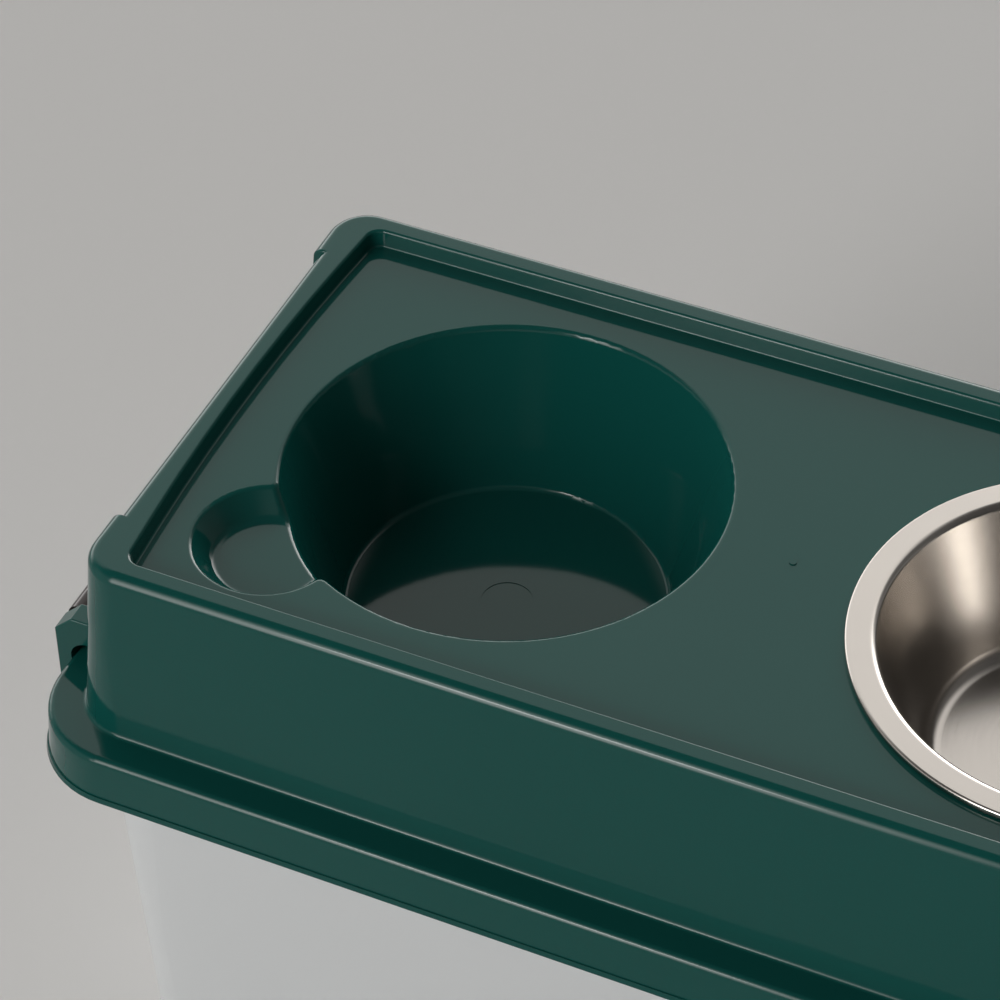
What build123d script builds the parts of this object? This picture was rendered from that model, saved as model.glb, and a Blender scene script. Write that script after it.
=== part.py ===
from build123d import *
import math
import os

os.makedirs("parts", exist_ok=True)

# Elevated dog feeder with storage. Millimetres, +Z up, floor at Z = 0.
# X runs along the feeder, -Y is the side the dog and the owner stand at.

# ---------------------------------------------------------------- heights
OVERALL_HEIGHT = 390.0      # floor to the top of the raised rim
RIM_RISE = 9.0              # raised rim above the deck
HOOD_RISE = 82.0            # deck above the ledge of the flange
SKIRT_DROP = 25.0           # ledge down to the skirt's lower edge
DECK_Z = OVERALL_HEIGHT - RIM_RISE
LEDGE_Z = DECK_Z - HOOD_RISE
SKIRT_Z = LEDGE_Z - SKIRT_DROP

# ------------------------------------------------------- hood of the top
WALL = 2.6                  # moulded wall
HOOD_DRAFT = 5.3            # hood walls lean out towards the ledge
HOOD_HALF_L = 277.8         # at the rim top, over the end pilasters
HOOD_HALF_W = 134.3         # at the rim top
HOOD_CORNER_R = 19.0        # at the rim top
RIM_EDGE_R = 5.6            # outer top edge
RIM_INNER_EDGE_R = 1.6      # edge towards the deck
END_RECESS_DEPTH = 3.5      # end wall set back between the pilasters
PILASTER_W = 36.8           # rim's side to the set-back wall
END_RECESS_HALF_W = HOOD_HALF_W - PILASTER_W
RECESS_EDGE_R = 1.2
LEDGE_FILLET_R = 2.0        # where the hood meets the ledge

# ------------------------------------------------------------ deck pocket
RIM_SIDE_W = 12.7           # rim along the long sides
RIM_END_W = 20.0            # rim at the corners of the short ends
POCKET_HALF_W = HOOD_HALF_W - RIM_SIDE_W
POCKET_HALF_L = HOOD_HALF_L - RIM_END_W
POCKET_BOW = 5.6            # ends bow outwards in the middle
POCKET_CORNER_R = 6.5
POCKET_DRAFT = 4.0
DECK_FILLET_R = 1.0         # deck into the inner side of the rim

# ------------------------------------------------------------------ wells
WELL_OUTBOARD = 6.1         # wells sit this far outboard of the deck's quarter points
WELL_OFFSET_X = POCKET_HALF_L / 2 + WELL_OUTBOARD
WELL_SIDE_MARGIN = 21.1     # deck left between the mouth and the rim
WELL_MOUTH_R = POCKET_HALF_W - WELL_SIDE_MARGIN
WELL_WALL_RUN = 25.7        # the wall leans in this much down to the floor
WELL_FLOOR_R = WELL_MOUTH_R - WELL_WALL_RUN
WELL_FLOOR_RISE = 4.0       # well floor above the ledge
WELL_DEPTH = HOOD_RISE - WELL_FLOOR_RISE
WELL_FLOOR_FILLET_R = 3.0
WELL_FLOOR_Z = DECK_Z - WELL_DEPTH
GATE_DISC_R = 12.0          # witness of the gate in the well floor
GATE_DISC_DEPTH = 0.3
GATE_PIP_R = 1.7            # gate vestige in the middle of the deck
GATE_PIP_RISE = 0.5

# ---------------------------------------------------------- finger notches
NOTCH_OUTBOARD = 10.3       # notch centre beyond the well's mouth
NOTCH_REACH = WELL_MOUTH_R + NOTCH_OUTBOARD
NOTCH_MOUTH_R = 33.4
NOTCH_FLOOR_R = 24.6
NOTCH_DEPTH = 12.5
NOTCH_FLOOR_FILLET_R = 6.0
JUNCTION_R = 4.0            # where the notch breaks through the well's wall
MOUTH_LIP_R = 3.0           # deck into the wells and notches

# ------------------------------------------------------- flange and skirt
LEDGE_END_W = 16.2          # ledge beyond the hood's foot
LEDGE_SIDE_W = 16.2
FLANGE_CORNER_R = 41.0      # at the ledge
SKIRT_DRAFT = 4.4
FLANGE_EDGE_R = 3.6
BEAD_OUT = 1.0              # bead round the skirt's lower edge
BEAD_HEIGHT = 2.6
BEAD_DRAFT = 12.0

# ---------------------------------------------------- ribs under the deck
RIB_T = 2.0
RIB_FOOT_RISE = 14.0        # ribs stop this far above the ledge
RIB_ARCH_R = 62.0           # arch cut in the middle web
RIB_ARCH_RISE = 24.0        # top of that arch above the web's lower edge
MIDDLE_RIB_DEPTH = 46.0
LONG_RIB_DEPTH = 24.0       # web between the wells, along the feeder

# --------------------------------------------------------- lugs and pivot
LUG_OVERLAP = 1.5           # lugs reach this far past the step of the end wall
LUG_INNER_Y = END_RECESS_HALF_W - LUG_OVERLAP
LUG_WIDTH = 11.3
LUG_OUT = 7.2               # beyond the flange edge
LUG_TOP_RISE = 23.6         # above the ledge
LUG_CHAMFER = 9.0
LUG_ARCH_R = 9.8
LUG_EDGE_R = 0.9
LUG_ROOT_IN = 5.0           # root runs into the hood's end wall
PIVOT_IN = 6.5              # pivot inboard of the lug's outer face
PIVOT_RISE = 13.0           # above the ledge
PIN_R = 2.5
PIN_CLEARANCE = 0.05
PIN_HOLE_DEPTH = 8.0
PIN_END_GAP = 0.5

# ------------------------------------------------------------------- seal
SEAL_WIDTH = 5.0
SEAL_HEIGHT = 3.4
SEAL_INSET = 10.8           # seal centre line inboard of the flange edge
SEAL_EDGE_R = 1.0
RETAINER_T = 1.5            # low walls either side of the seal
RETAINER_GAP = 0.4
OUTER_RETAINER_DROP = 2.0

# ------------------------------------------------------------ storage bin
BIN_WALL = 2.8
BIN_DRAFT = 3.0
BIN_FLOOR_T = 3.0
BIN_BODY_INSET = 19.3       # body inboard of the flange edge, under the lip
BIN_CORNER_R = 34.0
BIN_BASE_EDGE_R = 6.0
LIP_T = 2.6
LIP_GAP = 1.2               # lip's turned edge to the inside of the skirt
LIP_BOTTOM_RISE = 0.4       # turned edge ends this far above the skirt's edge
FOOT_RING_W = 14.0
FOOT_RECESS = 2.5
FOOT_RECESS_R = 10.0
LIP_RIB_T = 2.0
LIP_RIB_DROP = 15.0
SIDE_RIB_COUNT = 6          # along each long side
END_RIB_COUNT = 2           # along each short end

# ---------------------------------------------------------------- latches
LATCH_SIDE_GAP = 1.0
LATCH_T = 3.0
LATCH_FACE_IN = 0.2         # outer face inboard of the lug's outer face
BARREL_R = 6.2
LATCH_FOOT_DROP = 8.5       # plate's lower edge below the skirt's edge
GRIP_OUT = 4.0              # finger grip turned outwards
GRIP_T = 2.6
TOE_GAP = 0.7               # toe below the skirt's edge
TOE_T = 3.0
TOE_REACH = 3.2             # toe past the inside of the lip's turned edge
TOE_W = 36.0
TOE_MARGIN = 15.0           # outer toes end this far inside the latch's ends
LATCH_EDGE_R = 0.8

# ------------------------------------------------------------------- bowl
BOWL_SEAT_W = 4.5           # rim rests on this much of the deck
BOWL_RIM_R = WELL_MOUTH_R + BOWL_SEAT_W
BOWL_T = 1.0
BOWL_RIM_RISE = 3.6
BOWL_BEAD_W = 3.4
BOWL_BEAD_EDGE_R = 1.4
BOWL_RIM_W = 13.0
BOWL_MOUTH_R = BOWL_RIM_R - BOWL_RIM_W
BOWL_BEND_R = 3.0
BOWL_BASE_GAP = 8.8         # bowl's base inside the well's floor
BOWL_BASE_R = WELL_FLOOR_R - BOWL_BASE_GAP
BOWL_FLOOR_GAP = 10.0       # bowl's base above the well's floor, with the rim's rise
BOWL_DEPTH = WELL_DEPTH - BOWL_FLOOR_GAP
BOWL_BASE_BEND_R = 10.0

LEFT = -1
RIGHT = 1
OVERCUT = 5.0               # cutters run this far past the surface they open
END_CLEAR = 30.0            # cutters at the ends reach this far past the hood


def lean(height, degrees):
    """Sideways run of a drafted wall over a height."""
    return height * math.tan(math.radians(degrees))


def block(half_l, half_w, corner_r, z_low, z_high, draft=0.0):
    """Rounded block, given at its lower face, leaning in by the draft."""
    outline = Plane.XY.offset(z_low) * RectangleRounded(2 * half_l, 2 * half_w, corner_r)
    return extrude(outline, z_high - z_low, taper=draft)


def ring(half_l, half_w, corner_r, width, z_low, z_high):
    """Rounded ring whose outer line is given."""
    outer = block(half_l, half_w, corner_r, z_low, z_high)
    inner = block(half_l - width, half_w - width, corner_r - width, z_low - 1, z_high + 1)
    return outer - inner


def end_prism(side, profile, y_low, y_high):
    """XZ profile, with x counted outwards from the middle, drawn along Y at one end."""
    points = [(side * x, 0, z) for x, z in profile]
    face = make_face(Polyline(*points, close=True))
    solid = extrude(face, y_high - y_low, dir=(0, 1, 0))
    return Pos(0, y_low, 0) * solid


def turned(profile, centre_x, centre_y, rounds):
    """Solid of revolution about a vertical axis; rounds is a list of (point, radius)."""
    points = [(r, 0, z) for r, z in profile]
    face = make_face(Polyline(*points, close=True))
    for (r, z), radius in rounds:
        corner = face.vertices().sort_by_distance((r, 0, z))[0]
        face = fillet(corner, radius)
    return Pos(centre_x, centre_y, 0) * revolve(face, Axis.Z)


def cup_skin(mouth_r, floor_r, depth, floor_fillet, centre_x, centre_y):
    """Outer skin of a tapered recess that hangs from the deck."""
    angle = math.atan2(mouth_r - floor_r, depth)
    floor_z = DECK_Z - depth - WALL
    floor_corner = (floor_r + WALL * (1 - math.sin(angle)) / math.cos(angle), floor_z)
    mouth = (mouth_r + WALL / math.cos(angle), DECK_Z)
    profile = [(0, floor_z), floor_corner, mouth, (0, DECK_Z)]
    return turned(profile, centre_x, centre_y, [(floor_corner, floor_fillet + WALL)])


def cup_space(mouth_r, floor_r, depth, floor_fillet, centre_x, centre_y):
    """Space inside a tapered recess, with a wider disc above the deck."""
    floor_corner = (floor_r, DECK_Z - depth)
    profile = [
        (0, DECK_Z - depth),
        floor_corner,
        (mouth_r, DECK_Z),
        (mouth_r + OVERCUT, DECK_Z),
        (mouth_r + OVERCUT, DECK_Z + OVERCUT),
        (0, DECK_Z + OVERCUT),
    ]
    return turned(profile, centre_x, centre_y, [(floor_corner, floor_fillet)])


def off_cone(point, mouth_r, floor_r, depth, centre_x, centre_y):
    """How far a point lies outside the wall of a tapered recess."""
    wall_r = mouth_r - (DECK_Z - point.Z) * (mouth_r - floor_r) / depth
    return math.hypot(point.X - centre_x, point.Y - centre_y) - wall_r


# ================================================================ feeder top
hood_total = OVERALL_HEIGHT - LEDGE_Z
hood_lean = lean(hood_total, HOOD_DRAFT)
HOOD_BASE_HALF_L = HOOD_HALF_L + hood_lean
HOOD_BASE_HALF_W = HOOD_HALF_W + hood_lean
HOOD_BASE_R = HOOD_CORNER_R + hood_lean
RECESS_HALF_L = HOOD_HALF_L - END_RECESS_DEPTH
FLANGE_HALF_L = HOOD_BASE_HALF_L + LEDGE_END_W
FLANGE_HALF_W = HOOD_BASE_HALF_W + LEDGE_SIDE_W


def recess_prism(side, inset, half_w, z_low, edge_r=0.0):
    """Space in front of the set-back end wall, moved in by an inset."""
    z_high = OVERALL_HEIGHT + OVERCUT
    far = HOOD_BASE_HALF_L + END_CLEAR
    x_top = RECESS_HALF_L - inset
    x_low = x_top + lean(OVERALL_HEIGHT - z_low, HOOD_DRAFT)
    if edge_r:
        x_back = x_top - 2 * edge_r
        profile = [(x_back, OVERALL_HEIGHT), (x_back, z_high), (far, z_high), (far, z_low),
                   (x_low, z_low), (x_top, OVERALL_HEIGHT)]
    else:
        profile = [(x_top, OVERALL_HEIGHT), (x_top, z_high), (far, z_high), (far, z_low),
                   (x_low, z_low)]
    points = [(side * x, 0, z) for x, z in profile]
    face = make_face(Polyline(*points, close=True))
    if edge_r:
        face = fillet(face.vertices().sort_by_distance(points[-1])[0], edge_r)
    return Pos(0, -half_w, 0) * extrude(face, 2 * half_w, dir=(0, 1, 0))


def pocket_outline(grow):
    """Deck outline with straight long sides and bowed ends."""
    x_corner = POCKET_HALF_L + grow
    x_middle = x_corner + POCKET_BOW
    y_side = POCKET_HALF_W + grow
    lines = [
        Line((-x_corner, -y_side), (x_corner, -y_side)),
        ThreePointArc((x_corner, -y_side), (x_middle, 0), (x_corner, y_side)),
        Line((x_corner, y_side), (-x_corner, y_side)),
        ThreePointArc((-x_corner, y_side), (-x_middle, 0), (-x_corner, -y_side)),
    ]
    face = make_face(lines)
    return fillet(face.vertices(), POCKET_CORNER_R + grow)


# Outer skin of the hood with its set-back ends and rounded top edge.
hood = block(HOOD_BASE_HALF_L, HOOD_BASE_HALF_W, HOOD_BASE_R, LEDGE_Z, OVERALL_HEIGHT, HOOD_DRAFT)
hood = fillet(hood.faces().sort_by(Axis.Z)[-1].edges(), RIM_EDGE_R)
for side in (LEFT, RIGHT):
    hood -= recess_prism(side, 0, END_RECESS_HALF_W, LEDGE_Z - 1, RIM_EDGE_R)
step_edges = [
    e for e in hood.edges()
    if abs(abs(e.center().Y) - END_RECESS_HALF_W) < 0.05 and e.bounding_box().size.Y < 0.05
    and abs(e.center().X) > HOOD_HALF_L - RIM_EDGE_R
    and (e.length > 0.9 * hood_total or e.length < 2 * RIM_EDGE_R)
    and abs(e.center().X) > HOOD_HALF_L + lean(OVERALL_HEIGHT - e.center().Z, HOOD_DRAFT) - 1.2
]
hood = fillet(step_edges, RECESS_EDGE_R)

# Deck pocket inside the raised rim.
pocket_face = Plane.XY.offset(DECK_Z) * pocket_outline(0)
pocket = extrude(pocket_face, RIM_RISE + 2, taper=-POCKET_DRAFT)
pocket = fillet(pocket.faces().sort_by(Axis.Z)[0].edges(), DECK_FILLET_R)
hood -= pocket
rim_face = hood.faces().filter_by(Axis.Z).sort_by(Axis.Z)[-1]
hood = fillet(rim_face.inner_wires()[0].edges(), RIM_INNER_EDGE_R)

# Flange: ledge, drafted skirt and the bead round its lower edge.
skirt_lean = lean(SKIRT_DROP, SKIRT_DRAFT)
SKIRT_HALF_L = FLANGE_HALF_L + skirt_lean
SKIRT_HALF_W = FLANGE_HALF_W + skirt_lean
SKIRT_R = FLANGE_CORNER_R + skirt_lean
flange = block(SKIRT_HALF_L, SKIRT_HALF_W, SKIRT_R, SKIRT_Z, LEDGE_Z, SKIRT_DRAFT)
flange = fillet(flange.faces().sort_by(Axis.Z)[-1].edges(), FLANGE_EDGE_R)
bead = block(SKIRT_HALF_L + BEAD_OUT, SKIRT_HALF_W + BEAD_OUT, SKIRT_R + BEAD_OUT,
             SKIRT_Z, SKIRT_Z + BEAD_HEIGHT, BEAD_DRAFT)
top = hood + flange
foot_edges = [
    e for e in top.edges()
    if abs(e.center().Z - LEDGE_Z) < 0.01 and e.bounding_box().size.Z < 0.01
    and abs(e.center().X) < HOOD_BASE_HALF_L + 1 and abs(e.center().Y) < HOOD_BASE_HALF_W + 1
]
top = fillet(foot_edges, LEDGE_FILLET_R)
top += bead

# Pivot lugs standing on the ledge, outboard of it, with an arch underneath.
LUG_OUTER_X = FLANGE_HALF_L + LUG_OUT
LUG_TOP_Z = LEDGE_Z + LUG_TOP_RISE
PIVOT_X = LUG_OUTER_X - PIVOT_IN
PIVOT_Z = LEDGE_Z + PIVOT_RISE
LUG_ROOT_X = HOOD_BASE_HALF_L - LUG_ROOT_IN
LUG_OUTER_Y = LUG_INNER_Y + LUG_WIDTH
arch_x = FLANGE_HALF_L - LUG_ARCH_R
lug_profile = [
    (LUG_ROOT_X, SKIRT_Z),
    (LUG_OUTER_X, SKIRT_Z),
    (LUG_OUTER_X, LUG_TOP_Z - LUG_CHAMFER),
    (LUG_OUTER_X - LUG_CHAMFER, LUG_TOP_Z),
    (LUG_ROOT_X, LUG_TOP_Z),
]
for side in (LEFT, RIGHT):
    for y_side in (-1, 1):
        y_low = min(y_side * LUG_INNER_Y, y_side * LUG_OUTER_Y)
        lug = end_prism(side, lug_profile, y_low, y_low + LUG_WIDTH)
        outer_edges = [
            e for e in lug.edges()
            if abs(e.center().X) > LUG_ROOT_X + 3 and abs(e.center().Z - SKIRT_Z) > 0.1
        ]
        lug = fillet(outer_edges, LUG_EDGE_R)
        arch = Pos(side * arch_x, y_low + LUG_WIDTH / 2, LEDGE_Z)
        lug -= arch * Rot(90, 0, 0) * Cylinder(LUG_ARCH_R, LUG_WIDTH + 2)
        top += lug

# Hollow of the hood: inside of the walls, the rim channel and the deck's underside.
core = block(HOOD_BASE_HALF_L - WALL, HOOD_BASE_HALF_W - WALL, HOOD_BASE_R - WALL,
             LEDGE_Z, OVERALL_HEIGHT - WALL, HOOD_DRAFT)
core += block(HOOD_BASE_HALF_L - WALL, HOOD_BASE_HALF_W - WALL, HOOD_BASE_R - WALL,
              SKIRT_Z, LEDGE_Z)
for side in (LEFT, RIGHT):
    core -= recess_prism(side, WALL, END_RECESS_HALF_W + WALL, LEDGE_Z)
deck_block = extrude(Plane.XY.offset(DECK_Z - WALL) * pocket_outline(WALL), RIM_RISE + WALL)
core -= deck_block
skirt_hollow = block(SKIRT_HALF_L - WALL, SKIRT_HALF_W - WALL, SKIRT_R - WALL,
                     SKIRT_Z - 1, LEDGE_Z - WALL, SKIRT_DRAFT)
top -= core
top -= skirt_hollow

# Low walls under the ledge that hold the seal; the inner one seats on the bin's lip.
SEAL_HALF_L = FLANGE_HALF_L - SEAL_INSET
SEAL_HALF_W = FLANGE_HALF_W - SEAL_INSET
SEAL_R = FLANGE_CORNER_R - SEAL_INSET
LIP_TOP_Z = LEDGE_Z - WALL - SEAL_HEIGHT
half_channel = SEAL_WIDTH / 2 + RETAINER_GAP
outer_wall = half_channel + RETAINER_T
top += ring(SEAL_HALF_L + outer_wall, SEAL_HALF_W + outer_wall, SEAL_R + outer_wall,
            RETAINER_T, LEDGE_Z - WALL - OUTER_RETAINER_DROP, LEDGE_Z - WALL)
top += ring(SEAL_HALF_L - half_channel, SEAL_HALF_W - half_channel, SEAL_R - half_channel,
            RETAINER_T, LIP_TOP_Z, LEDGE_Z - WALL)

# Ribs between the wells, the deck and the hood walls.
rib_low = LEDGE_Z + RIB_FOOT_RISE
rib_mid_z = (rib_low + DECK_Z) / 2
rib_h = DECK_Z - rib_low
ribs = []
for side in (LEFT, RIGHT):
    ribs.append(Pos(side * WELL_OFFSET_X, 0, rib_mid_z) * Box(RIB_T, 2 * HOOD_BASE_HALF_W, rib_h))
    end_mid_x = side * (WELL_OFFSET_X + HOOD_BASE_HALF_L) / 2
    ribs.append(Pos(end_mid_x, 0, rib_mid_z)
                * Box(HOOD_BASE_HALF_L - WELL_OFFSET_X, RIB_T, rib_h))
middle_rib = Pos(0, 0, DECK_Z - MIDDLE_RIB_DEPTH / 2) * Box(
    RIB_T, 2 * HOOD_BASE_HALF_W, MIDDLE_RIB_DEPTH)
middle_arch = Pos(0, 0, DECK_Z - MIDDLE_RIB_DEPTH - RIB_ARCH_R + RIB_ARCH_RISE) * Rot(0, 90, 0) * Cylinder(
    RIB_ARCH_R, 2 * RIB_T)
ribs.append(middle_rib - middle_arch)
ribs.append(Pos(0, 0, DECK_Z - LONG_RIB_DEPTH / 2)
            * Box(2 * (WELL_OFFSET_X - WELL_FLOOR_R), RIB_T, LONG_RIB_DEPTH))
for rib in ribs:
    top += rib & core

# Wells and notches: outer skins first, then the spaces inside them. A notch breaks through
# the well's wall, so both spaces are joined before their edges are rounded.
notch_offset = NOTCH_REACH / math.sqrt(2)
well_cone = (WELL_MOUTH_R, WELL_FLOOR_R, WELL_DEPTH)
notch_cone = (NOTCH_MOUTH_R, NOTCH_FLOOR_R, NOTCH_DEPTH)
spaces = []
for side in (LEFT, RIGHT):
    well_at = (side * WELL_OFFSET_X, 0)
    notch_at = (side * (WELL_OFFSET_X + notch_offset), -notch_offset)
    top += cup_skin(*well_cone, WELL_FLOOR_FILLET_R, *well_at)
    top += cup_skin(*notch_cone, NOTCH_FLOOR_FILLET_R, *notch_at)
    space = cup_space(*well_cone, WELL_FLOOR_FILLET_R, *well_at)
    space += cup_space(*notch_cone, NOTCH_FLOOR_FILLET_R, *notch_at)
    junction_edges = [
        e for e in space.edges()
        if all(abs(off_cone(e.position_at(t), *well_cone, *well_at)) < 0.05 for t in (0.1, 0.5, 0.9))
        and off_cone(e.center(), *notch_cone, *notch_at) < NOTCH_FLOOR_FILLET_R
        and DECK_Z - NOTCH_DEPTH - 0.1 < e.center().Z < DECK_Z - 0.1
    ]
    space = fillet(junction_edges, JUNCTION_R)
    mouth_edges = [
        e for e in space.edges()
        if abs(e.center().Z - DECK_Z) < 0.01 and e.bounding_box().size.Z < 0.01
        and off_cone(e.position_at(0.5), *well_cone, *well_at) < OVERCUT - 0.1
        or abs(e.center().Z - DECK_Z) < 0.01 and e.bounding_box().size.Z < 0.01
        and off_cone(e.position_at(0.5), *notch_cone, *notch_at) < OVERCUT - 0.1
    ]
    space = fillet(mouth_edges, MOUTH_LIP_R)
    gate_disc = Pos(*well_at, WELL_FLOOR_Z) * Cylinder(GATE_DISC_R, 2 * GATE_DISC_DEPTH)
    spaces.append(space + gate_disc)
for space in spaces:
    top -= space

top += Pos(0, 0, DECK_Z) * Cylinder(GATE_PIP_R, 2 * GATE_PIP_RISE)

# Blind pivot holes in the lugs.
for side in (LEFT, RIGHT):
    for y_side in (-1, 1):
        y_mid = y_side * (LUG_INNER_Y + PIN_HOLE_DEPTH / 2)
        hole = Pos(side * PIVOT_X, y_mid, PIVOT_Z) * Rot(90, 0, 0)
        top -= hole * Cylinder(PIN_R, PIN_HOLE_DEPTH)
feeder_top = top

# ====================================================================== seal
seal = ring(SEAL_HALF_L + SEAL_WIDTH / 2, SEAL_HALF_W + SEAL_WIDTH / 2,
            SEAL_R + SEAL_WIDTH / 2, SEAL_WIDTH, LIP_TOP_Z, LIP_TOP_Z + SEAL_HEIGHT)
seal_low_edges = seal.faces().sort_by(Axis.Z)[0].edges()
lid_seal = fillet(seal_low_edges, SEAL_EDGE_R)

# =============================================================== storage bin
LIP_HALF_L = SKIRT_HALF_L - WALL - LIP_GAP - skirt_lean
LIP_HALF_W = SKIRT_HALF_W - WALL - LIP_GAP - skirt_lean
LIP_R = SKIRT_R - WALL - LIP_GAP - skirt_lean
LIP_BOTTOM_Z = SKIRT_Z + LIP_BOTTOM_RISE
BODY_HALF_L = FLANGE_HALF_L - BIN_BODY_INSET
BODY_HALF_W = FLANGE_HALF_W - BIN_BODY_INSET
body_lean = lean(LIP_TOP_Z, BIN_DRAFT)
bin_body = block(BODY_HALF_L - body_lean, BODY_HALF_W - body_lean, BIN_CORNER_R - body_lean,
                 0, LIP_TOP_Z, -BIN_DRAFT)
bin_body = fillet(bin_body.faces().sort_by(Axis.Z)[0].edges(), BIN_BASE_EDGE_R)
lip = block(LIP_HALF_L, LIP_HALF_W, LIP_R, LIP_TOP_Z - LIP_T, LIP_TOP_Z)
lip = fillet(lip.faces().sort_by(Axis.Z)[-1].edges(), LIP_T * 0.6)
turned_edge = ring(LIP_HALF_L, LIP_HALF_W, LIP_R, LIP_T, LIP_BOTTOM_Z, LIP_TOP_Z - LIP_T)
lip_space = block(LIP_HALF_L - LIP_T / 2, LIP_HALF_W - LIP_T / 2, LIP_R - LIP_T / 2,
                  LIP_TOP_Z - LIP_T - LIP_RIB_DROP, LIP_TOP_Z - LIP_T / 2)
storage_bin = bin_body + lip + turned_edge

# Small ribs that carry the lip, clipped to the space under it.
rib_z = LIP_TOP_Z - LIP_T - LIP_RIB_DROP / 2
for i in range(SIDE_RIB_COUNT):
    x = (i - (SIDE_RIB_COUNT - 1) / 2) * 2 * BODY_HALF_L / SIDE_RIB_COUNT
    web = Pos(x, 0, rib_z) * Box(LIP_RIB_T, 4 * BODY_HALF_W, LIP_RIB_DROP + LIP_T)
    storage_bin += web & lip_space
for i in range(END_RIB_COUNT):
    y = (i - (END_RIB_COUNT - 1) / 2) * 2 * BODY_HALF_W / END_RIB_COUNT
    web = Pos(0, y, rib_z) * Box(4 * BODY_HALF_L, LIP_RIB_T, LIP_RIB_DROP + LIP_T)
    storage_bin += web & lip_space

inner_low = BIN_FLOOR_T + FOOT_RECESS
inner_lean = lean(LIP_TOP_Z - inner_low, BIN_DRAFT)
bin_space = block(BODY_HALF_L - BIN_WALL - inner_lean, BODY_HALF_W - BIN_WALL - inner_lean,
                  BIN_CORNER_R - BIN_WALL - inner_lean, inner_low, LIP_TOP_Z, -BIN_DRAFT)
bin_space = fillet(bin_space.faces().sort_by(Axis.Z)[0].edges(), BIN_BASE_EDGE_R)
storage_bin -= bin_space
base_half_l = BODY_HALF_L - body_lean - FOOT_RING_W
base_half_w = BODY_HALF_W - body_lean - FOOT_RING_W
storage_bin -= block(base_half_l, base_half_w, FOOT_RECESS_R, -1, FOOT_RECESS)

# =================================================================== latches
LATCH_FACE_X = LUG_OUTER_X - LATCH_FACE_IN
LATCH_HALF_W = LUG_INNER_Y - LATCH_SIDE_GAP
LATCH_LOW_Z = SKIRT_Z - LATCH_FOOT_DROP
TOE_TIP_X = LIP_HALF_L - LIP_T - TOE_REACH
TOE_TOP_Z = SKIRT_Z - TOE_GAP


def make_latch(side):
    """Snap latch: barrel and stub pins, plate, finger grip and three toes."""
    inner_x = LATCH_FACE_X - LATCH_T
    plate_profile = [
        (inner_x, PIVOT_Z),
        (inner_x, LATCH_LOW_Z),
        (LATCH_FACE_X + GRIP_OUT, LATCH_LOW_Z - 1.5),
        (LATCH_FACE_X + GRIP_OUT, LATCH_LOW_Z - 1.5 + GRIP_T),
        (LATCH_FACE_X, LATCH_LOW_Z + 6),
        (LATCH_FACE_X, PIVOT_Z),
    ]
    latch = end_prism(side, plate_profile, -LATCH_HALF_W, LATCH_HALF_W)
    pivot = Pos(side * PIVOT_X, 0, PIVOT_Z) * Rot(90, 0, 0)
    latch += pivot * Cylinder(BARREL_R, 2 * LATCH_HALF_W)
    toe_profile = [
        (inner_x + 1, TOE_TOP_Z),
        (TOE_TIP_X, TOE_TOP_Z),
        (TOE_TIP_X, TOE_TOP_Z - TOE_T * 0.6),
        (TOE_TIP_X + 2.5, TOE_TOP_Z - TOE_T),
        (inner_x + 1, TOE_TOP_Z - TOE_T - 1),
    ]
    toe_pitch = LATCH_HALF_W - TOE_MARGIN - TOE_W / 2
    for i in (-1, 0, 1):
        y = i * toe_pitch
        latch += end_prism(side, toe_profile, y - TOE_W / 2, y + TOE_W / 2)
    grip_edges = [
        e for e in latch.edges()
        if abs(abs(e.center().X) - LATCH_FACE_X - GRIP_OUT) < 0.05
        and e.bounding_box().size.Y > LATCH_HALF_W
    ]
    latch = fillet(grip_edges, LATCH_EDGE_R)
    pin_r = PIN_R - PIN_CLEARANCE
    pin_half = LUG_INNER_Y + PIN_HOLE_DEPTH - PIN_END_GAP
    latch += pivot * Cylinder(pin_r, 2 * pin_half)
    return latch


left_latch = make_latch(LEFT)
right_latch = make_latch(RIGHT)

# ====================================================================== bowl
bowl_top = DECK_Z + BOWL_RIM_RISE
bowl_low = bowl_top - BOWL_DEPTH
slope = (BOWL_MOUTH_R - BOWL_BASE_R) / BOWL_DEPTH
side_t = BOWL_T * math.sqrt(1 + slope * slope)
bowl_profile = [
    (0, bowl_low),
    (BOWL_BASE_R, bowl_low),
    (BOWL_MOUTH_R + side_t - slope * BOWL_T, bowl_top - BOWL_T),
    (BOWL_RIM_R - BOWL_BEAD_W, bowl_top - BOWL_T),
    (BOWL_RIM_R - BOWL_BEAD_W, DECK_Z),
    (BOWL_RIM_R, DECK_Z),
    (BOWL_RIM_R, bowl_top),
    (BOWL_MOUTH_R, bowl_top),
    (BOWL_BASE_R - side_t + slope * BOWL_T, bowl_low + BOWL_T),
    (0, bowl_low + BOWL_T),
]
food_bowl = turned(bowl_profile, RIGHT * WELL_OFFSET_X, 0, [
    (bowl_profile[1], BOWL_BASE_BEND_R),
    (bowl_profile[2], BOWL_BEND_R),
    (bowl_profile[4], BOWL_BEAD_EDGE_R / 2),
    (bowl_profile[5], BOWL_BEAD_EDGE_R),
    (bowl_profile[6], BOWL_BEAD_EDGE_R),
    (bowl_profile[7], BOWL_BEND_R + BOWL_T),
    (bowl_profile[8], BOWL_BASE_BEND_R - BOWL_T),
])

# ==================================================================== export
nodes = {
    "storage_bin": storage_bin,
    "feeder_top": feeder_top,
    "lid_seal": lid_seal,
    "left_latch": left_latch,
    "right_latch": right_latch,
    "food_bowl": food_bowl,
}
for name, shape in nodes.items():
    export_step(shape, f"parts/{name}.step")
    print(name, "solids", len(shape.solids()), "volume", round(shape.volume / 1000, 1), "cm3",
          "valid", shape.is_valid)
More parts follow.
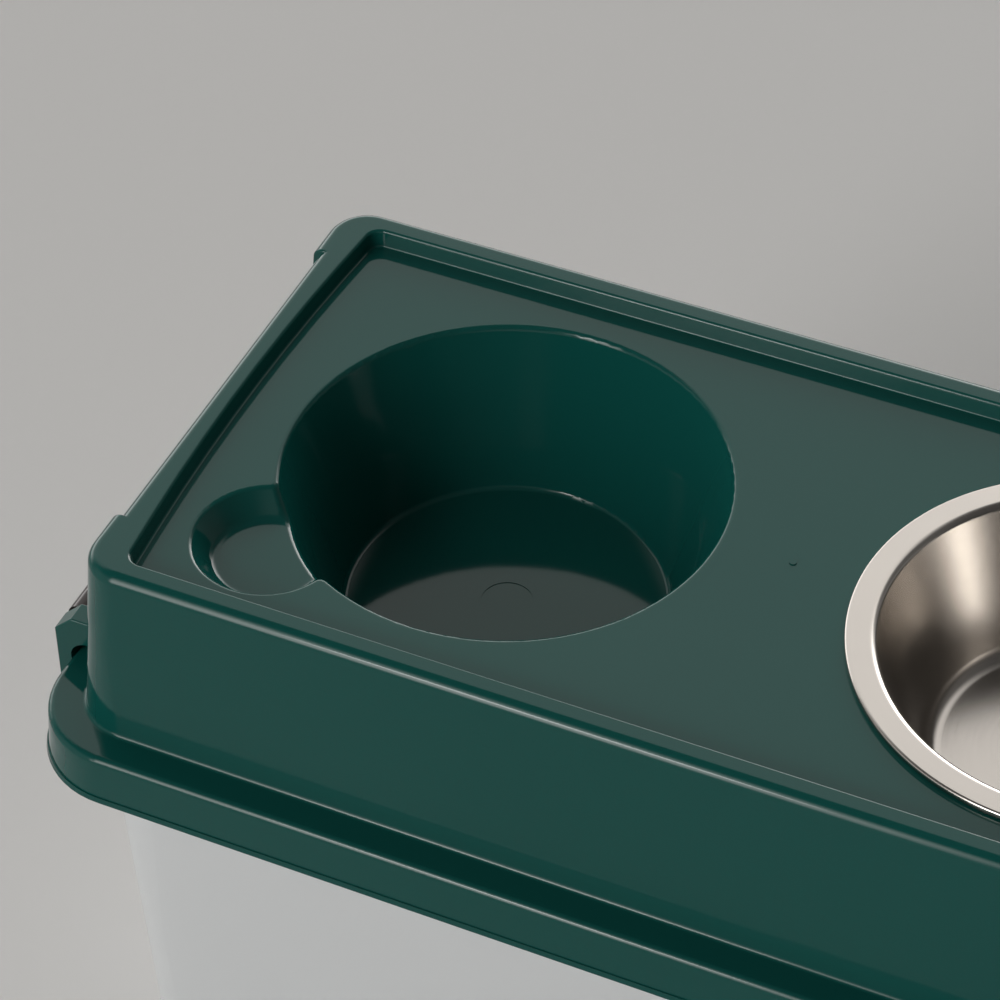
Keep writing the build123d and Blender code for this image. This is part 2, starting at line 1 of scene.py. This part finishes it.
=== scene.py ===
# %% [markdown]
# # An elevated dog feeder with storage
# The feeder is a green moulded top that clips on a frosted bin. The top has two deep wells:
# a steel bowl hangs in one, and the other is empty, so its walls and floor are open to view.
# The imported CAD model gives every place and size. Blender gives the finishes, the light and
# the pieces whose curves deserve finer steps than the CAD model's triangles.

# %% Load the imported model
import math

import bmesh
import bpy
from mathutils import Matrix, Vector


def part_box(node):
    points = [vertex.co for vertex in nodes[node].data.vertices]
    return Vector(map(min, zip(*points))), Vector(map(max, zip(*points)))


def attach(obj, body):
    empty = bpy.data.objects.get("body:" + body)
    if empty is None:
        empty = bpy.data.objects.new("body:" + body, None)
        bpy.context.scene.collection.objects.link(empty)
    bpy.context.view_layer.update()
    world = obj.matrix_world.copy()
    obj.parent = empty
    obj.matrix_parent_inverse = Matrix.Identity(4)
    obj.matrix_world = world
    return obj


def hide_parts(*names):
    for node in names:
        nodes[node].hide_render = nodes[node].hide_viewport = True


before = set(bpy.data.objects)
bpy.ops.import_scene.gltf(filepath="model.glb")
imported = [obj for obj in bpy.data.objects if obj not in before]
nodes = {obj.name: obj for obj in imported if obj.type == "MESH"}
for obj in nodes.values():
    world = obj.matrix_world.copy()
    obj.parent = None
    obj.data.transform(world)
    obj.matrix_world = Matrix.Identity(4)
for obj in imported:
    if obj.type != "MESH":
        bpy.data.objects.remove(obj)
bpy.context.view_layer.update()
print("nodes:", sorted(nodes))

# %% [markdown]
# ## The camera
# The feeder is seen from its front right, from standing height, through a long lens that keeps
# its edges nearly parallel. A camera looks along its own -Z axis, so the matrix is put together
# from three directions: its right, its up, and the opposite of where it looks. A half degree of
# roll is added by turning right and up about the line of sight.

# %% Camera
LOOK_AZIMUTH = math.radians(-24.562)
LOOK_DOWN = math.radians(43.493)
ROLL = math.radians(-0.556)
STANDPOINT = Vector((0.3392, -1.0443, 1.4545))
SENSOR_MM = 36.0
LENS_MM = 128.27

look = Vector((
    math.sin(LOOK_AZIMUTH) * math.cos(LOOK_DOWN),
    math.cos(LOOK_AZIMUTH) * math.cos(LOOK_DOWN),
    -math.sin(LOOK_DOWN),
))
level_right = look.cross(Vector((0, 0, 1))).normalized()
level_up = level_right.cross(look)
right = level_right * math.cos(ROLL) + level_up * math.sin(ROLL)
up = level_up * math.cos(ROLL) - level_right * math.sin(ROLL)

camera_data = bpy.data.cameras.new("camera")
camera_data.sensor_width = SENSOR_MM
camera_data.lens = LENS_MM
camera_data.clip_start = 0.01
camera = bpy.data.objects.new("camera", camera_data)
bpy.context.scene.collection.objects.link(camera)
camera.matrix_world = Matrix((
    (right.x, up.x, -look.x, STANDPOINT.x),
    (right.y, up.y, -look.y, STANDPOINT.y),
    (right.z, up.z, -look.z, STANDPOINT.z),
    (0, 0, 0, 1),
))
bpy.context.scene.camera = camera
bpy.context.scene.view_settings.view_transform = "Standard"
print("camera", round(STANDPOINT.length, 3), "m from the origin, lens", LENS_MM, "mm")

# %% [markdown]
# ## Node sums that read like sums
# A procedural finish, and a shape made by Geometry Nodes, are both chains of small nodes.
# Wrapping each output in a class that knows + - * / lets the rest of the file write
# `1 - dust * 0.2` and have the Math nodes made for it. `Graph` is the tree they stand in, with
# one method that makes any other node from its type, settings and inputs. The same classes
# serve the materials, the shapes and the world.

# %% A socket that can stand in a sum
class Value:
    """An output of a node. Arithmetic on it makes Math nodes."""

    def __init__(self, graph, socket):
        self.graph = graph
        self.socket = socket

    def other(self, name):
        """Another output of the same node."""
        return Value(self.graph, self.socket.node.outputs[name])

    def __add__(self, other):
        return self.graph.maths("ADD", self, other)

    def __radd__(self, other):
        return self.graph.maths("ADD", other, self)

    def __sub__(self, other):
        return self.graph.maths("SUBTRACT", self, other)

    def __rsub__(self, other):
        return self.graph.maths("SUBTRACT", other, self)

    def __mul__(self, other):
        return self.graph.maths("MULTIPLY", self, other)

    def __rmul__(self, other):
        return self.graph.maths("MULTIPLY", other, self)

    def __truediv__(self, other):
        return self.graph.maths("DIVIDE", self, other)

    def __rtruediv__(self, other):
        return self.graph.maths("DIVIDE", other, self)


# %% A node tree, with one method for every node
class Graph:
    """A node tree of any kind."""

    def __init__(self, tree):
        self.tree = tree

    def node(self, kind, settings=None, inputs=None, output=0):
        """Makes a node, sets it, then fills its inputs with values or links."""
        made = self.tree.nodes.new(kind)
        for name, value in (settings or {}).items():
            if name == "items":  # an Index Switch is given its inputs one at a time
                while len(made.index_switch_items) < value:
                    made.index_switch_items.new()
            else:
                setattr(made, name, value)
        for name, value in (inputs or {}).items():
            if isinstance(value, Value):
                self.tree.links.new(value.socket, made.inputs[name])
            else:
                made.inputs[name].default_value = value
        return Value(self, made.outputs[output])

    def maths(self, operation, first, second=0.0):
        """One Math node."""
        return self.node("ShaderNodeMath", {"operation": operation}, {0: first, 1: second})

    def step(self, value, low, high, at_low=0.0, at_high=1.0):
        """A smooth change from one number to another while a value goes from low to high."""
        return self.node("ShaderNodeMapRange", {"interpolation_type": "SMOOTHSTEP"}, {
            "Value": value, "From Min": low, "From Max": high,
            "To Min": at_low, "To Max": at_high,
        })


print("graph helpers ready")

# %% [markdown]
# ## Finishes
# A finish is one material. Its patterns are laid in Object coordinates, which here are metres
# in the feeder's own frame, so a pattern's scale is simply its number of waves per metre.

# %% A finish: one material and its nodes
class Finish(Graph):
    """A material with a Principled shader."""

    def __init__(self, name):
        self.material = bpy.data.materials.new(name)
        self.material.use_nodes = True
        super().__init__(self.material.node_tree)
        self.shader = self.tree.nodes["Principled BSDF"]
        self.place = self.node("ShaderNodeTexCoord", output="Object")

    def set(self, **values):
        """Sets or links the shader's own sockets, named with _ for a space."""
        for name, value in values.items():
            socket = self.shader.inputs[name.replace("_", " ")]
            if isinstance(value, Value):
                self.tree.links.new(value.socket, socket)
            else:
                socket.default_value = value

    def noise(self, scale, detail=2.0, roughness=0.5, at=None):
        """Noise from 0 to 1, with its scale in waves per metre."""
        return self.node("ShaderNodeTexNoise", {}, {
            "Vector": at or self.place, "Scale": scale, "Detail": detail, "Roughness": roughness,
        })

    def blend(self, factor, first, second):
        """Mixes two colours."""
        return self.node("ShaderNodeMix", {"data_type": "RGBA"}, {
            "Factor": factor, 6: first, 7: second,
        }, output=2)

    def bump(self, height, metres, strength=1.0):
        """A surface relief from a height of 0 to 1, that deep in metres."""
        return self.node("ShaderNodeBump", {}, {
            "Strength": strength, "Distance": metres, "Height": height,
        })


print("finish helpers ready")

# %% [markdown]
# ## The green moulded top
# Glossy injection-moulded polypropylene. Its colour is even all through, so nearly all that
# the eye reads comes from what the surface mirrors. Real mouldings are never optically flat:
# the skin shrinks a little as it cools, which bends reflections softly over a few centimetres,
# and a very fine grain blurs them. Both are made here from noise in the Bump and the Roughness.

# %% Finish: moulded green
green = Finish("moulded_green")
flow = green.noise(9.0, 3.0, 0.55)
sink = green.noise(26.0, 2.0, 0.45)
grain = green.noise(1500.0, 2.0, 0.6)
handling = green.step(green.noise(70.0, 5.0, 0.62), 0.52, 0.78)
green.set(
    Base_Color=green.blend(flow, (0.0037, 0.063, 0.054, 1), (0.0045, 0.0685, 0.059, 1)),
    Roughness=0.055 + grain * 0.02 + handling * 0.02,
    Normal=green.bump(sink + grain * 0.02, 0.00008),
    IOR=1.36,
)
print("made", green.material.name)

# %% [markdown]
# ## The frosted bin
# The bin is natural polypropylene: no colour added, so it lets light through and blurs it.
# A little transmission with a rough surface gives that milky look on a thin wall, and a soft
# grain keeps the highlights broad.

# %% Finish: frosted bin
frosted = Finish("frosted_natural")
cloud = frosted.noise(6.0, 3.0, 0.5)
frost = frosted.noise(2200.0, 2.0, 0.6)
frosted.set(
    Base_Color=frosted.blend(cloud, (0.69, 0.71, 0.72, 1), (0.74, 0.76, 0.77, 1)),
    Roughness=0.42 + frost * 0.10,
    Normal=frosted.bump(frost, 0.00002),
    Transmission_Weight=0.15,
    IOR=1.49,
)
print("made", frosted.material.name)

# %% [markdown]
# ## The latches
# The two end latches are a harder, darker plastic, brown-black, polished by the mould. A flat
# colour would look like a hole, so a weak cloudiness in the colour and the relief gives the
# mirror something to bend on.

# %% Finish: dark latch
dark = Finish("dark_polished")
dark_flow = dark.noise(35.0, 3.0, 0.5)
dark_grain = dark.noise(1800.0, 2.0, 0.6)
dark.set(
    Base_Color=dark.blend(dark_flow, (0.013, 0.008, 0.007, 1), (0.019, 0.012, 0.010, 1)),
    Roughness=0.09 + dark_grain * 0.03,
    Normal=dark.bump(dark_flow + dark_grain * 0.03, 0.00008),
    IOR=1.42,
)
print("made", dark.material.name)

# %% [markdown]
# ## The seal
# A soft foam cord pressed between the top and the bin. Foam is matt and full of small cells,
# so the finish is rough, with a Voronoi pattern for the cells.

# %% Finish: foam seal
foam = Finish("foam_grey")
cells = foam.node("ShaderNodeTexVoronoi", {}, {"Vector": foam.place, "Scale": 1400.0})
foam.set(
    Base_Color=foam.blend(cells, (0.12, 0.12, 0.12, 1), (0.26, 0.26, 0.26, 1)),
    Roughness=0.92,
    Normal=foam.bump(cells, 0.0002),
)
print("made", foam.material.name)

# %% [markdown]
# ## The spun steel bowl
# A feeder bowl is pressed from sheet and polished while it spins, so its marks are rings round
# its own axis. The distance from that axis, worked out from two coordinates, drives a noise
# that changes quickly across the rings and hardly at all along them.

# %% Finish: spun steel
low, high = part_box("food_bowl")
BOWL_X = (low[0] + high[0]) / 2
BOWL_Y = 0.0
BOWL_RADIUS = (high[0] - low[0]) / 2
steel = Finish("spun_steel")
centred = steel.node("ShaderNodeMapping", {}, {
    "Vector": steel.place, "Location": (-BOWL_X, -BOWL_Y, 0.0),
})
across = steel.node("ShaderNodeSeparateXYZ", {}, {0: centred}, output="X")
along = across.other("Y")
height = across.other("Z")
radius = steel.maths("SQRT", across * across + along * along)
turn = steel.maths("ARCTAN2", along, across)
ring_place = steel.node("ShaderNodeCombineXYZ", {}, {
    "X": radius * 1400.0, "Y": height * 1400.0, "Z": turn * 3.0,
})
rings = steel.noise(1.0, 3.0, 0.65, at=ring_place)
smear = steel.noise(18.0, 3.0, 0.5)
steel.set(
    Base_Color=steel.blend(smear, (0.48, 0.452, 0.42, 1), (0.54, 0.508, 0.472, 1)),
    Metallic=1.0,
    Roughness=0.17 + rings * 0.08 + smear * 0.05,
    Normal=steel.bump(rings, 0.000012),
)
print("made", steel.material.name)

# %% [markdown]
# ## Even shading
# On a moulding, large flat faces meet thin rounded edges. Plain smooth shading would bend the
# reflections far into the flats. Normals weighted by face area keep each flat face flat right
# up to its roundings, so only the roundings bend the light. Edges that turn sharply stay sharp.

# %% Smooth a piece without softening its flats
SHARP_DEGREES = 35.0
FACE_AREA_WEIGHT = 100


def shade_evenly(piece):
    """Smooths a merged mesh, keeps its sharp edges, and weights its normals."""
    work = bmesh.new()
    work.from_mesh(piece.data)
    limit = math.radians(SHARP_DEGREES)
    for edge in work.edges:
        edge.smooth = len(edge.link_faces) == 2 and edge.calc_face_angle(0.0) < limit
    for face in work.faces:
        face.smooth = True
    work.to_mesh(piece.data)
    work.free()
    even = piece.modifiers.new("even_shading", "WEIGHTED_NORMAL")
    even.keep_sharp = True
    even.weight = FACE_AREA_WEIGHT


print("even shading ready, edges over", SHARP_DEGREES, "degrees stay sharp")

# %% [markdown]
# ## The moulded pieces
# The top, the bin and the latches are carved and rounded in the CAD model. Their nodes are
# loose triangles, so Blender can't blend shading across them. A copy of each has its corners
# merged and is shaded evenly. The copy is what is seen, and the node stays for the physics.

# %% Copy a CAD node's mesh and merge it
SAME_PLACE = 2e-6  # corners this close, in metres, are one corner
NO_LENGTH = 1e-7  # and edges this short are none


def merged_copy(node, name, finish):
    """A merged copy of a CAD node, in its finish."""
    mesh = nodes[node].data.copy()
    mesh.name = name
    if "custom_normal" in mesh.attributes:
        mesh.attributes.remove(mesh.attributes["custom_normal"])
    work = bmesh.new()
    work.from_mesh(mesh)
    bmesh.ops.remove_doubles(work, verts=work.verts, dist=SAME_PLACE)
    bmesh.ops.dissolve_degenerate(work, dist=NO_LENGTH, edges=work.edges)
    work.to_mesh(mesh)
    work.free()
    mesh.materials.clear()
    mesh.materials.append(finish.material)
    piece = bpy.data.objects.new(name, mesh)
    bpy.context.scene.collection.objects.link(piece)
    print(name, len(mesh.vertices), "corners,", len(mesh.polygons), "faces")
    return piece


# %% Put a piece on its body, in its node's place
def stands_for(piece, body, node):
    """The piece moves with the body, and is seen instead of the CAD node."""
    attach(piece, body)
    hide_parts(node)


print("helpers for the moulded pieces ready")

# %% [markdown]
# ## The green top
# The whole upper half of the feeder is one injection moulding: hood, rim, deck, wells, finger
# notches, ledge and skirt. It could be made here with a subdivision surface, but its rounded
# mouths and drafted walls are measured forms, which the CAD model already holds exactly. So
# its triangles are kept, and only their shading and finish are new.

# %% The green top
top_skin = merged_copy("feeder_top", "top_skin", green)
shade_evenly(top_skin)
stands_for(top_skin, "lid", "feeder_top")

# %% [markdown]
# ## The bin
# The bin is a deep box. Its walls lean a little, so that it leaves its mould and empty bins
# nest, and its turned lip gives the latches something to grip. A bevelled cube would come
# close, but the CAD model has the lip and the ribs under it exactly, so it too is a copy.

# %% The bin
bin_skin = merged_copy("storage_bin", "bin_skin", frosted)
shade_evenly(bin_skin)
stands_for(bin_skin, "bin", "storage_bin")

# %% [markdown]
# ## The latches
# One latch at each end swings on stub pins in the top's lugs and hooks its toe under the bin's
# lip. The two are the same moulding. They aren't made as one mesh and a mirror, because each
# rides on a body of its own and turns about its own pins.

# %% The latches
for side in ("left", "right"):
    latch_skin = merged_copy(f"{side}_latch", f"{side}_latch_skin", dark)
    shade_evenly(latch_skin)
    stands_for(latch_skin, f"latch_{side}", f"{side}_latch")

# %% [markdown]
# ## Shapes that follow a rule
# Two pieces can be told in a sentence: the bowl is one outline turned round an axis, and the
# seal is one section drawn along a rounded rectangle. Geometry Nodes suit them, because the
# sizes stay as named inputs. `Shape` holds such a tree. The modifier's inputs are set by their
# sockets' identifiers, and its result is then kept as a plain mesh, because a finished piece
# has to stand on its own.

# %% Weld a made mesh and count its open edges
WELD_DISTANCE = 1e-6


def weld(mesh):
    """Merges corners that share a place, turns all faces outwards, and counts open edges."""
    work = bmesh.new()
    work.from_mesh(mesh)
    bmesh.ops.remove_doubles(work, verts=work.verts, dist=WELD_DISTANCE)
    bmesh.ops.recalc_face_normals(work, faces=work.faces)
    for face in work.faces:
        face.material_index = 0
    open_edges = sum(1 for edge in work.edges if not edge.is_manifold)
    work.to_mesh(mesh)
    work.free()
    return open_edges


# %% A Geometry Nodes tree with named sizes
class Shape(Graph):
    """A tree that makes one piece from named sizes."""

    def __init__(self, name, sizes):
        super().__init__(bpy.data.node_groups.new(name, "GeometryNodeTree"))
        self.name = name
        self.sizes = sizes
        self.identifiers = {}
        panel = self.tree.interface
        panel.new_socket("Geometry", in_out="OUTPUT", socket_type="NodeSocketGeometry")
        for label, size in sizes.items():
            kind = "NodeSocketInt" if isinstance(size, int) else "NodeSocketFloat"
            socket = panel.new_socket(label, in_out="INPUT", socket_type=kind)
            self.identifiers[label] = socket.identifier
        self.start = self.tree.nodes.new("NodeGroupInput")

    def __getitem__(self, label):
        return Value(self, self.start.outputs[label])

    def point(self, x, y, z):
        """A vector from three values or numbers."""
        return self.node("ShaderNodeCombineXYZ", {}, {"X": x, "Y": y, "Z": z})

    def by_index(self, kind, index, values):
        """The value that stands at an index of a list."""
        return self.node("GeometryNodeIndexSwitch", {"data_type": kind, "items": len(values)}, {
            "Index": index, **{1 + i: value for i, value in enumerate(values)},
        })

    def piece(self, geometry, finish):
        """Ends the tree and keeps what it makes as a plain mesh object."""
        real = self.node("GeometryNodeRealizeInstances", {}, {0: geometry})
        dressed = self.node("GeometryNodeSetMaterial", {}, {
            "Geometry": real, "Material": finish.material,
        })
        end = self.tree.nodes.new("NodeGroupOutput")
        self.tree.links.new(dressed.socket, end.inputs[0])
        maker = bpy.data.objects.new(self.name + "_maker", bpy.data.meshes.new(self.name))
        bpy.context.scene.collection.objects.link(maker)
        modifier = maker.modifiers.new("shape", "NODES")
        modifier.node_group = self.tree
        for label, size in self.sizes.items():
            modifier[self.identifiers[label]] = size
        seen = bpy.context.evaluated_depsgraph_get()
        mesh = bpy.data.meshes.new_from_object(maker.evaluated_get(seen), depsgraph=seen)
        mesh.name = self.name
        bpy.data.objects.remove(maker)
        open_edges = weld(mesh)
        mesh.materials.clear()
        mesh.materials.append(finish.material)
        made = bpy.data.objects.new(self.name, mesh)
        bpy.context.scene.collection.objects.link(made)
        print(self.name, len(mesh.polygons), "faces,", open_edges, "open edges")
        return made


# %% [markdown]
# ## The bowl
# The bowl is one sheet of steel, spun on a former: a round base, a leaning wall and a flat rim
# whose outer edge is rolled under. It could be a Screw modifier on a drawn line, but then its
# sizes would be hidden in the line's points. Here the outline is ten corners worked out from
# the named sizes, most of them rounded, and the tree turns it round the axis.

# %% The bowl's sizes, in metres
low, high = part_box("food_bowl")
bowl_sizes = {
    "Centre X": BOWL_X,
    "Centre Y": BOWL_Y,
    "Top": high[2],
    "Depth": high[2] - low[2],
    "Rim Radius": BOWL_RADIUS,
    "Rim Width": 0.0130,
    "Base Radius": 0.0660,
    "Sheet": 0.0010,
    "Bead Width": 0.0034,
    "Bead Drop": 0.0036,
    "Bead Edge": 0.0014,
    "Mouth Bend": 0.0030,
    "Base Bend": 0.0100,
    "Steps Round": 240,
    "Steps In A Bend": 10,
}
print("bowl", {k: round(v, 4) for k, v in bowl_sizes.items()})

# %% [markdown]
# ### The bowl's corners
# The outline runs from the axis along the underside, up the outside of the wall, round the
# rolled edge, and back down the inside. The wall leans, so the sheet measured level through it
# is a little more than the sheet itself: `side_sheet` is that level thickness.

# %% The bowl's corners
bowl = Shape("bowl_skin", bowl_sizes)
top, low_z = bowl["Top"], bowl["Top"] - bowl["Depth"]
rim, base, sheet = bowl["Rim Radius"], bowl["Base Radius"], bowl["Sheet"]
mouth = rim - bowl["Rim Width"]
slope = (mouth - base) / bowl["Depth"]
side_sheet = sheet * bowl.maths("SQRT", 1.0 + slope * slope)
bead_in = rim - bowl["Bead Width"]
bead_low = top - bowl["Bead Drop"]
corners = [
    bowl.point(0.0, 0.0, low_z),
    bowl.point(base, 0.0, low_z),
    bowl.point(mouth + side_sheet - slope * sheet, 0.0, top - sheet),
    bowl.point(bead_in, 0.0, top - sheet),
    bowl.point(bead_in, 0.0, bead_low),
    bowl.point(rim, 0.0, bead_low),
    bowl.point(rim, 0.0, top),
    bowl.point(mouth, 0.0, top),
    bowl.point(base - side_sheet + slope * sheet, 0.0, low_z + sheet),
    bowl.point(0.0, 0.0, low_z + sheet),
]
bends = [
    0.0, bowl["Base Bend"], bowl["Mouth Bend"], 0.0, bowl["Bead Edge"] * 0.5,
    bowl["Bead Edge"], bowl["Bead Edge"], bowl["Mouth Bend"] + sheet,
    bowl["Base Bend"] - sheet, 0.0,
]
print("bowl outline", len(corners), "corners")

# %% [markdown]
# ### The bowl's outline
# A line of as many points as there are corners is laid out by number: an Index Switch answers
# "where is corner 3?". Turned into a curve, it is filleted with one radius to each corner.

# %% The bowl's outline
number = bowl.node("GeometryNodeInputIndex")
line = bowl.node("GeometryNodeMeshLine", {}, {"Count": len(corners)})
laid = bowl.node("GeometryNodeSetPosition", {}, {
    "Geometry": line, "Position": bowl.by_index("VECTOR", number, corners),
})
outline = bowl.node("GeometryNodeFilletCurve", {"mode": "POLY"}, {
    "Curve": bowl.node("GeometryNodeMeshToCurve", {}, {"Mesh": laid}),
    "Count": bowl["Steps In A Bend"],
    "Radius": bowl.by_index("FLOAT", number, bends),
})
print("bowl bends in", bowl_sizes["Steps In A Bend"], "steps each")

# %% [markdown]
# ### The outline turned round the axis
# A grid is laid over the turn: each row takes one point of the outline, and each column one
# angle. Sampling the outline this way puts every point exactly where the outline has it, with
# no guess about how a sweep would be turned.

# %% The outline turned round the axis
point_count = bowl.node("GeometryNodeAttributeDomainSize", {"component": "CURVE"}, {
    "Geometry": outline,
})
columns = bowl["Steps Round"] + 1.0
grid = bowl.node("GeometryNodeMeshGrid", {}, {
    "Size X": 1.0, "Size Y": 1.0, "Vertices X": point_count, "Vertices Y": columns,
})
row = bowl.maths("FLOOR", (number + 0.5) / columns)
column = number - row * columns
sampled = bowl.node("GeometryNodeSampleIndex", {"data_type": "FLOAT_VECTOR"}, {
    "Geometry": outline, "Value": bowl.node("GeometryNodeInputPosition"), "Index": row,
})
out = bowl.node("ShaderNodeSeparateXYZ", {}, {0: sampled}, output="X")
angle = column * (2.0 * math.pi) / bowl["Steps Round"]
turned = bowl.node("GeometryNodeSetPosition", {}, {
    "Geometry": grid,
    "Position": bowl.point(
        bowl["Centre X"] + out * bowl.maths("COSINE", angle),
        bowl["Centre Y"] + out * bowl.maths("SINE", angle),
        out.other("Z"),
    ),
})
bowl_skin = bowl.piece(turned, steel)
shade_evenly(bowl_skin)
stands_for(bowl_skin, "bowl", "food_bowl")

# %% [markdown]
# ## The seal
# The seal is a foam cord laid in a groove all round, pressed between the top and the lip of the
# bin. It could be cut from a sheet, but a real one is a strip that follows the groove, so it is
# a sweep: a small rectangle with its two lower edges rounded, carried along a rounded rectangle.

# %% The seal's sizes
low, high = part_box("lid_seal")
SEAL_WIDTH = 0.0050
seal_sizes = {
    "Length": high[0] - low[0] - SEAL_WIDTH,
    "Breadth": high[1] - low[1] - SEAL_WIDTH,
    "Corner Radius": 0.0302,
    "Width": SEAL_WIDTH,
    "Height": high[2] - low[2],
    "Middle Level": (high[2] + low[2]) / 2,
    "Edge Radius": 0.0010,
    "Steps In A Corner": 16,
    "Steps In An Edge": 3,
}
print("seal", {k: round(v, 4) for k, v in seal_sizes.items()})

# %% The seal's sweep
seal = Shape("seal_skin", seal_sizes)
path = seal.node("GeometryNodeFilletCurve", {"mode": "POLY"}, {
    "Curve": seal.node("GeometryNodeCurvePrimitiveQuadrilateral", {}, {
        "Width": seal["Length"], "Height": seal["Breadth"],
    }),
    "Count": seal["Steps In A Corner"],
    "Radius": seal["Corner Radius"],
})
number = seal.node("GeometryNodeInputIndex")
section = seal.node("GeometryNodeFilletCurve", {"mode": "POLY"}, {
    "Curve": seal.node("GeometryNodeCurvePrimitiveQuadrilateral", {}, {
        "Width": seal["Width"], "Height": seal["Height"],
    }),
    "Count": seal["Steps In An Edge"],
    "Radius": seal.by_index("FLOAT", number, [0.0, 0.0, seal["Edge Radius"], seal["Edge Radius"]]),
})
swept = seal.node("GeometryNodeCurveToMesh", {}, {"Curve": path, "Profile Curve": section})
raised = seal.node("GeometryNodeSetPosition", {}, {
    "Geometry": swept, "Offset": seal.point(0.0, 0.0, seal["Middle Level"]),
})
seal_skin = seal.piece(raised, foam)
shade_evenly(seal_skin)
stands_for(seal_skin, "lid", "lid_seal")

# %% [markdown]
# ## The floor
# A plain pale floor takes the feeder's shadow. It is nearly as rough as paper, so it mirrors
# nothing, and it reaches far enough to pass for endless.

# %% Floor
REACH = 9.0
floor_mesh = bpy.data.meshes.new("floor")
floor_mesh.from_pydata(
    [(-REACH, -REACH, 0), (REACH, -REACH, 0), (REACH, REACH, 0), (-REACH, REACH, 0)],
    [], [(0, 1, 2, 3)],
)
floor = bpy.data.objects.new("floor", floor_mesh)
bpy.context.scene.collection.objects.link(floor)
pale = Finish("pale_floor")
pale.set(Base_Color=(0.592, 0.588, 0.581, 1), Roughness=0.85)
floor_mesh.materials.append(pale.material)
print("floor", 2 * REACH, "m square, material", pale.material.name)

# %% [markdown]
# ## A way to paint light on directions
# The glossy top shows whatever stands round it, so the light is a room painted into the world,
# as a few plain parts with soft edges. The world's Generated coordinate is the direction of a
# ray. Its Z is the sine of the ray's elevation, and its lean to one side is a dot product, so
# soft steps of those numbers are enough to cut out a wall or a window.

# %% Directions and windows
world = bpy.data.worlds.new("soft_room")
world.use_nodes = True
bpy.context.scene.world = world
background = world.node_tree.nodes["Background"]
sky = Graph(world.node_tree)
direction = sky.node("ShaderNodeTexCoord", output="Generated")
across = sky.node("ShaderNodeSeparateXYZ", {}, {0: direction}, output="X")
deep = across.other("Y")
height = across.other("Z")


def toward(azimuth):
    """How far a direction leans to one side: 0 degrees is the front, + is to the right."""
    angle = math.radians(azimuth)
    return across * math.sin(angle) - deep * math.cos(angle)


def window(azimuth, strength, inner, outer, bottom, top):
    """A bright upright patch with soft edges."""
    aside = sky.maths("ABSOLUTE", toward(azimuth + 90.0))
    wide = sky.step(toward(azimuth), 0.3, 0.5) * sky.step(aside, inner, outer, 1.0, 0.0)
    high = sky.step(height, *bottom) * sky.step(height, *top, 1.0, 0.0)
    return wide * high * strength


print("world", world.name, "ready to be painted")

# %% [markdown]
# ## The room
# A bright wall stands behind the feeder, which the deck mirrors towards the camera. One tall
# window in front and a little to the left draws the soft light lines along the edges, and one
# low window stands behind. The rest is dim, which keeps the wells deep. Only mirrors and
# shadows see that room: the camera sees one even, pale backdrop in its place, as bright as the
# far floor.

# %% The light from each direction
WALL, WALL_FOOT = 1.18, 1.8
FRONT_WINDOW, BACK_WINDOW = 6.5, 4.9
DIM_ROOM, CORNERS = 0.47, 0.08
BACKDROP = 0.47
DAYLIGHT = (1.0, 0.985, 0.965, 1)

wall = sky.step(height, 0.76, 0.88, WALL, 0.0) + sky.step(height, 0.16, 0.42, WALL_FOOT, 0.0)
wall = wall * sky.step(deep, -0.10, 0.35) * sky.step(across, 0.15, 0.50, 1.0, 0.05)
front_window = window(
    azimuth=-20.0, strength=FRONT_WINDOW,
    inner=0.06, outer=0.24, bottom=(-0.05, 0.30), top=(0.40, 0.92),
)
back_window = window(
    azimuth=178.0, strength=BACK_WINDOW,
    inner=0.08, outer=0.32, bottom=(0.02, 0.15), top=(0.35, 0.62),
)
room = sky.step(toward(-25.0), 0.2, 0.8) * sky.step(height, 0.40, 0.75, DIM_ROOM, 0.0)
light = wall + front_window + back_window + room + CORNERS
to_camera = sky.node("ShaderNodeLightPath", output="Is Camera Ray")
strength = light + to_camera * (BACKDROP - light)
sky.tree.links.new(strength.socket, background.inputs["Strength"])
background.inputs["Color"].default_value = DAYLIGHT
print("world made of a wall, two windows and a dim room")

# %% [markdown]
# ## The lamp
# A painted window is soft all over. One small lamp inside the front window adds the glints
# that a bright pane gives on rounded edges, and a little shape to the shadow.

# %% Lamp
def soft_lamp(name, place, target, size, power):
    """An area lamp that faces a point."""
    data = bpy.data.lights.new(name, "AREA")
    data.shape = "ELLIPSE"
    data.size, data.size_y = size
    data.energy = power
    lamp = bpy.data.objects.new(name, data)
    bpy.context.scene.collection.objects.link(lamp)
    lamp.location = place
    lamp.rotation_euler = (Vector(target) - Vector(place)).to_track_quat("-Z", "Y").to_euler()
    return lamp


glint = soft_lamp(
    "glint_lamp", place=(-0.85, -2.5, 1.9), target=(0, 0, 0.35), size=(0.7, 0.5), power=9.0,
)
print("lamp", glint.name, "of", glint.data.energy, "watts")
